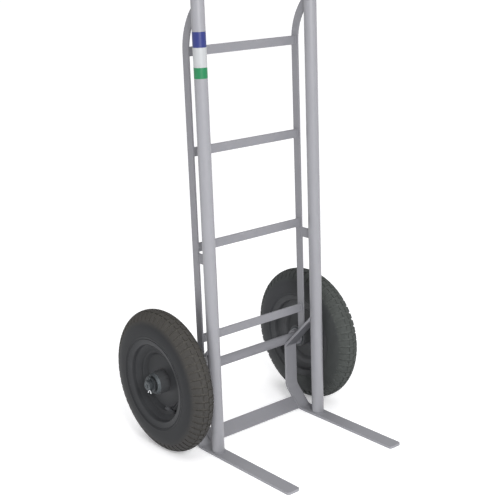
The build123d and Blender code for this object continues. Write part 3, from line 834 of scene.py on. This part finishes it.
# the hub is given painted light, more of it on its inner end
hubShape = {"bore": 25.4 * mm, "outerDust": 0.33, "innerDust": 1.0}
axleRings = {  # the last value is the share: painted light on black enamel, painted shade on grey enamel, the dull tone on zinc
    "axle_collar": (paint, "grey_paint", 0.0), "inner_washer": (paint, "grey_paint", 0.0),
    "outer_washer": (rimPaint, "black_paint", 0.33), "spacer_sleeve": (rimPaint, "black_paint", 0.33),
    "keeper_washer": (darkSteel, "zinc_plate", 0.8),
}
rimOutline = sheetOutline(rimShape)
dustCapOutline = sheetOutline(dustCapShape)
for side in sides:
    body = side + "_wheel"
    tyre, share = tyreSurface(side)
    dressNode(side + "_tyre", tyre, True, rubber[side], body, share)
    for node, (facing, shares) in rimHalves.items():
        half = spunOnAxle(rimOutline, wheelX[side], facing * sides[side], rimShape["segments"])
        # the rim's share is painted light that lifts the shade in the well and round the hub, all over the
        # inner half
        dust = np.interp(rimOutline[:, 1:], np.array(rimShape["paintedLightRadius"]) * mm, shares)
        dust = np.repeat(dust, rimShape["segments"], 1)
        dressNode(side + "_" + node, half, True, rimPaint, body, dust)
    hub = ringOf(side + "_hub", hubShape["bore"])
    outward = sides[side] * (hub[..., 0] - wheelX[side])
    # painted light on the hub, more on its inner end
    dust = np.where(outward > 0, hubShape["outerDust"], hubShape["innerDust"])
    dressNode(side + "_hub", hub, True, rimPaint, body, dust)
    cap = spunOnAxle(dustCapOutline, wheelX[side], sides[side], dustCapShape["segments"])
    dressNode(side + "_dust_cap", cap, True, darkSteel, body)
    for node in (side + "_outer_bearing", side + "_inner_bearing"):
        dressNode(node, bearingOf(node), True, darkSteel, body)
    for node, (material, slotName, share) in axleRings.items():
        ring = ringOf(side + "_" + node, axleRadius)
        # each ring's share: painted light on black enamel, the dull tone on zinc
        dust = np.full(ring.shape[:2], share)
        dressNode(side + "_" + node, ring, True, material, "frame", dust)
    # the pin's share darkens its eye; the near-white legs are a painted glint
    pin, grease = splitPin(side)
    dressNode(side + "_split_pin", pin, False, paintedGlintSteel, "frame", grease)
    dressNode(side + "_valve_cap", valveCap(side), False, capPlastic, body)
    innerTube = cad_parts[side + "_inner_tube"].data
    innerTube.materials.clear()
    innerTube.materials.append(gripRubber)
print("wheels made")


# axle

axleShape = {"chamfer": 1.6 * mm, "centreRadius": 5 * mm, "centreDepth": 7 * mm}
paintedReach = spanOf("right_inner_washer")[0][0]  # beyond this the bar is bare
barOutline = np.array([(-paintedReach, axleRadius), (paintedReach, axleRadius)])
bareOutline = np.array([  # depth from the end, radius
    (axleShape["centreDepth"], poleRadius), (0.0, axleShape["centreRadius"]),
    (0.0, axleRadius - axleShape["chamfer"]), (axleShape["chamfer"], axleRadius),
    (axleHigh[0] - paintedReach, axleRadius),
])
putPiece("axleBar", [(spunOnAxle(barOutline), False)], paint, "frame", ["axle"])
for side in sides:
    bare = spunOnAxle(bareOutline * [-1, 1] + [axleHigh[0], 0], side=sides[side])
    putPiece(side + "AxleEnd", [(bare, False)], darkSteel, "frame")
print("axle made")


# weld beads

beadShape = {"ripple": 2.4 * mm, "swell": 0.1, "step": 0.6 * mm, "thinnest": 0.05, "count": 8, "sharp": 80}


def bead(corners, radius, ring=False):
    # a round bead along straight runs, swelling and shrinking by a cosine of the length; an open one tapers
    # at its ends by a square root
    shape = beadShape
    corners = np.array([*corners, corners[0]] if ring else corners)
    length = np.concatenate([[0], np.cumsum(np.linalg.norm(np.diff(corners, axis=0), axis=1))])
    at = np.linspace(0, length[-1], int(length[-1] / shape["step"]) + 2)
    at = at[:-1] if ring else at
    path = np.stack([np.interp(at, length, line) for line in corners.T], 1)
    swell = 1 + shape["swell"] * np.cos(2 * np.pi * at / shape["ripple"])
    if not ring:
        swell *= np.sqrt(np.clip(np.minimum(at, length[-1] - at) / radius, shape["thinnest"], 1))
    return tubeAlong(path, radius * swell, shape["count"], ring), ring


weldShape = {
    "tubeFoot": 2.4 * mm, "footSteps": 48, "flat": 1.7 * mm, "strap": 2.2 * mm, "axle": 2.4 * mm,
    "axleOffset": 6 * mm, "earTurn": 72.0, "earSteps": 33,
}


def weldsOf(side):
    # every seam of one side of the frame, as lists of points along the corner between the two pieces
    shape = weldShape
    way = sides[side]
    turn = np.linspace(0, 2 * np.pi, shape["footSteps"] + 1)[:-1]
    foot = tubeRadius + shape["tubeFoot"] / 4  # most of the bead is sunk in the tube
    ring = np.stack([
        way * tubeX + foot * np.cos(turn), tubeY + foot * np.sin(turn), np.full(len(turn), strapThick),
    ], 1)
    beads = [bead(ring, shape["tubeFoot"], True)]

    ear = np.radians(np.linspace(-shape["earTurn"], shape["earTurn"], shape["earSteps"]))
    earX = way * tubeX + tubeRadius * np.sin(ear)
    earY = tubeY + tubeRadius * np.cos(ear)
    for height in (slopeTop, 2 * slopeMiddle - slopeTop):
        beads.append(bead(np.stack([earX, earY, height - earY], 1), shape["strap"]))

    touch = axleSpot - axleRadius / rootTwo
    endX = way * (tubeX + np.array([-1, 1]) * (strapWidth / 2 - shape["axle"]))
    for slope in (-1, 1):
        seam = touch + slope * shape["axleOffset"] * np.array([1, -1]) / rootTwo
        beads.append(bead([(endX[0], *seam), (endX[1], *seam)], shape["axle"]))

    middle = (barLow[1:] + barHigh[1:]) / 2
    reach = (strapWidth / 2 - shape["strap"]) / rootTwo
    lift = strapThick / 2 / rootTwo
    for face in (-1, 1):
        seam = middle + face * lift * np.array([-1, 1])
        ends = [(way * barHigh[0], *(seam + end * reach)) for end in (-1, 1)]
        beads.append(bead(ends, shape["strap"]))

    railEnd = sideRail(side)[-1]
    spacerLow, spacerHigh = spanOf(side + "_spacer")
    railFront, railBack = railHigh[1] - railWidth, railHigh[1]
    for face in (-1, 1):
        faceX = way * railX + face * railThick / 2
        tubeBack = tubeBackAt(faceX - way * tubeX)
        seams = [
            [(tubeBack, railEnd[:, 2].min()), (tubeBack, railEnd[:, 2].max())],
            [(railFront, slopeTop - railFront), (railBack, slopeTop - railBack)],
            [(tubeBack, spacerLow[2]), (tubeBack, spacerHigh[2])],
            [(railFront, spacerLow[2]), (railFront, spacerHigh[2])],
        ]
        beads += [bead([(faceX, *end) for end in seam], shape["flat"]) for seam in seams]
    for node in rungs:
        low, high = spanOf(node)
        loop = [(low[1], low[2]), (low[1], high[2]), (high[1], high[2]), (high[1], low[2])]
        beads.append(bead([(way * high[0], *corner) for corner in loop], shape["flat"], True))
    return beads


for side in sides:
    putPiece(side + "Welds", weldsOf(side), paint, "frame", sharp=beadShape["sharp"])
print("welds made")


# plain label on the left tube

labelShape = {
    "low": 941 * mm, "high": 1046 * mm, "width": 46 * mm, "facing": (-0.603, -0.798), "proud": 0.25 * mm,
    "sunk": 0.1 * mm, "steps": 49, "levels": 9,
}


def wrappedLabel():
    # a strip of the tube's own cylinder, a little proud of it, with its back just under the surface
    shape = labelShape
    middle = np.arctan2(shape["facing"][1], shape["facing"][0])
    half = shape["width"] / 2 / tubeRadius
    turn = np.linspace(middle - half, middle + half, shape["steps"])
    arc = np.stack([np.cos(turn), np.sin(turn)], 1)
    loop = np.concatenate([(tubeRadius + shape["proud"]) * arc, (tubeRadius - shape["sunk"]) * arc[::-1]])
    levels = np.linspace(shape["low"], shape["high"], shape["levels"])
    grid = np.empty((len(levels), len(loop), 3))
    grid[..., :2] = loop + [-tubeX, tubeY]
    grid[..., 2] = levels[:, None]
    return grid


putPiece("plainLabel", [(wrappedLabel(), False)], vinyl, "frame")
print("label made")


# floor, backdrop, lights and camera

floorDrop = 0.3 * mm  # the floor lies this far under the trolley
floorLook = {"colour": "#fbfbfc", "glow": 0.3, "rough": 0.9, "shine": 0.1, "size": 80.0}


def paleFloor():
    # a square of matt white sweep that is lit a little from behind, which keeps the shadows pale
    look = floorLook
    material, add = newMaterial("paleFloor")
    shader = add("BsdfPrincipled", {
        "Base Color": linear(look["colour"]), "Roughness": look["rough"], "Specular IOR Level": look["shine"],
        "Emission Color": linear(look["colour"]), "Emission Strength": look["glow"],
    })
    add("OutputMaterial", links={"Surface": shader})
    corners = np.array([(-1, -1, 0), (1, -1, 0), (1, 1, 0), (-1, 1, 0)]) * look["size"] / 2
    mesh = bpy.data.meshes.new("floor")
    mesh.from_pydata(corners.tolist(), [], [(0, 1, 2, 3)])
    mesh.materials.append(material)
    floor = linked("floor", mesh)
    floor.location.z = -floorDrop


backdropLook = {"colour": "#ffffff", "glow": 1.0, "radius": 38.0, "height": 40.0, "segments": 96}


def paleBackdrop():
    # a round wall of evenly lit white paper, so low views see no horizon; it lights and shades nothing
    look = backdropLook
    material, add = newMaterial("paleBackdrop")
    shader = add("Emission", {"Color": linear(look["colour"]), "Strength": look["glow"]})
    add("OutputMaterial", links={"Surface": shader})
    points = np.empty((2, look["segments"], 3))
    points[..., :2] = circle(look["radius"], look["segments"])
    points[..., 2] = np.array([[-floorDrop], [look["height"]]])
    index = np.arange(2 * look["segments"]).reshape(2, -1)
    faces = quadFaces(np.concatenate([index, index[:, :1]], 1))
    mesh = bpy.data.meshes.new("backdrop")
    mesh.from_pydata(points.reshape(-1, 3).tolist(), [], faces.tolist())
    mesh.materials.append(material)
    backdrop = linked("backdrop", mesh)
    for ray in ("diffuse", "glossy", "transmission", "shadow"):
        setattr(backdrop, "visible_" + ray, False)


lights = {
    "besideCamera": {"kind": "AREA", "place": (-1.1, -2.4, 1.6), "target": 0.6, "spread": 0.9, "power": 53.0},
    "lowLeft": {"kind": "AREA", "place": (-2.6, 0.45, 0.22), "target": 0.5, "spread": 0.6, "power": 3.0},
    "overhead": {"kind": "SUN", "place": (0.0, -0.3, 2.0), "target": 0.0, "spread": 80.0, "power": 1.2},
}
worldLight = {"colour": "#ffffff", "strength": 0.43}


def addLights():
    # each light looks from its place to the point above the origin at its target's height; a sun's spread
    # is an angle in degrees, an area lamp's its diameter in metres
    for name, light in lights.items():
        data = bpy.data.lights.new(name, light["kind"])
        data.energy = light["power"]
        if light["kind"] == "SUN":
            data.angle = np.radians(light["spread"])
        else:
            data.shape = "DISK"
            data.size = light["spread"]
        lamp = linked(name, data)
        lamp.location = light["place"]
        lamp.visible_camera = False
        aim = Vector((0.0, 0.0, light["target"])) - lamp.location
        lamp.rotation_euler = aim.to_track_quat("-Z", "Y").to_euler()
    world = bpy.data.worlds.new("studio")
    world.use_nodes = True
    background = world.node_tree.nodes["Background"]
    background.inputs["Color"].default_value = linear(worldLight["colour"])
    background.inputs["Strength"].default_value = worldLight["strength"]
    bpy.context.scene.world = world


view = {
    "place": (-1676, -1992, 1237), "yaw": -39.3, "pitch": -15.85, "roll": -2.09, "focalPixels": 1085,
    "imageWidth": 500, "sensor": 36.0, "clipEnd": 200.0,
}


def addCamera():
    # place is in millimetres from the main tubes' plane, and the angles are from straight ahead and level
    yaw, pitch, roll = np.radians([view["yaw"], view["pitch"], view["roll"]])
    ahead = np.array([-np.sin(yaw) * np.cos(pitch), np.cos(yaw) * np.cos(pitch), np.sin(pitch)])
    level = np.array([np.cos(yaw), np.sin(yaw), 0.0])
    above = np.cross(level, ahead)
    right = np.cos(roll) * level + np.sin(roll) * above
    up = np.cos(roll) * above - np.sin(roll) * level
    data = bpy.data.cameras.new("camera")
    data.sensor_width = view["sensor"]
    data.lens = view["focalPixels"] * view["sensor"] / view["imageWidth"]
    data.clip_end = view["clipEnd"]
    camera = linked("camera", data)
    turn = Matrix(np.stack([right, up, -ahead], 1).tolist()).to_4x4()
    camera.matrix_world = Matrix.Translation(np.array(view["place"]) * mm + [0, tubeY, 0]) @ turn
    bpy.context.scene.camera = camera


paleFloor()
paleBackdrop()
addLights()
addCamera()
bpy.context.scene.view_settings.view_transform = "Standard"
print("stage, lights and camera set")
